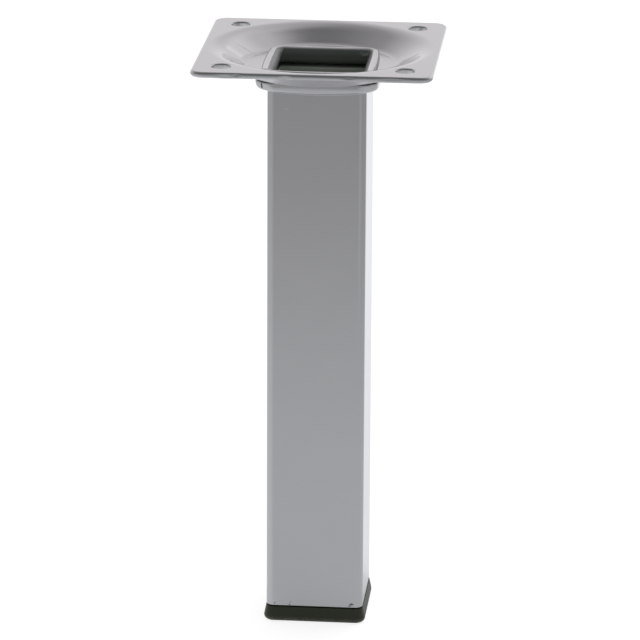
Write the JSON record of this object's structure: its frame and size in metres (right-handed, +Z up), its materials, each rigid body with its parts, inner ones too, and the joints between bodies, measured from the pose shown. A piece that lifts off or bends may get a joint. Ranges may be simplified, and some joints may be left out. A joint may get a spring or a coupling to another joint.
{
  "type": "square metal table leg",
  "caption": "Square tube table leg with a dished square mounting plate clamped to its flared end and a plastic foot cap.",
  "frame": {"origin": "middle of the foot cap's underside, on the floor", "axes": "+Z up along the tube towards the mounting plate; X and Y along the plate's sides, the picture's front facing -Y"},
  "size_m": [0.06, 0.06, 0.15],
  "materials": {
    "lacquered_plate": "satin silver-grey lacquer",
    "lacquered_tube": "satin silver-grey lacquer",
    "foot_plastic": "matt dark grey moulding"
  },
  "bodies": {
    "root": {"mounting_plate": "lacquered_plate", "leg_tube": "lacquered_tube", "foot_cap": "foot_plastic"}
  },
  "joints": []
}
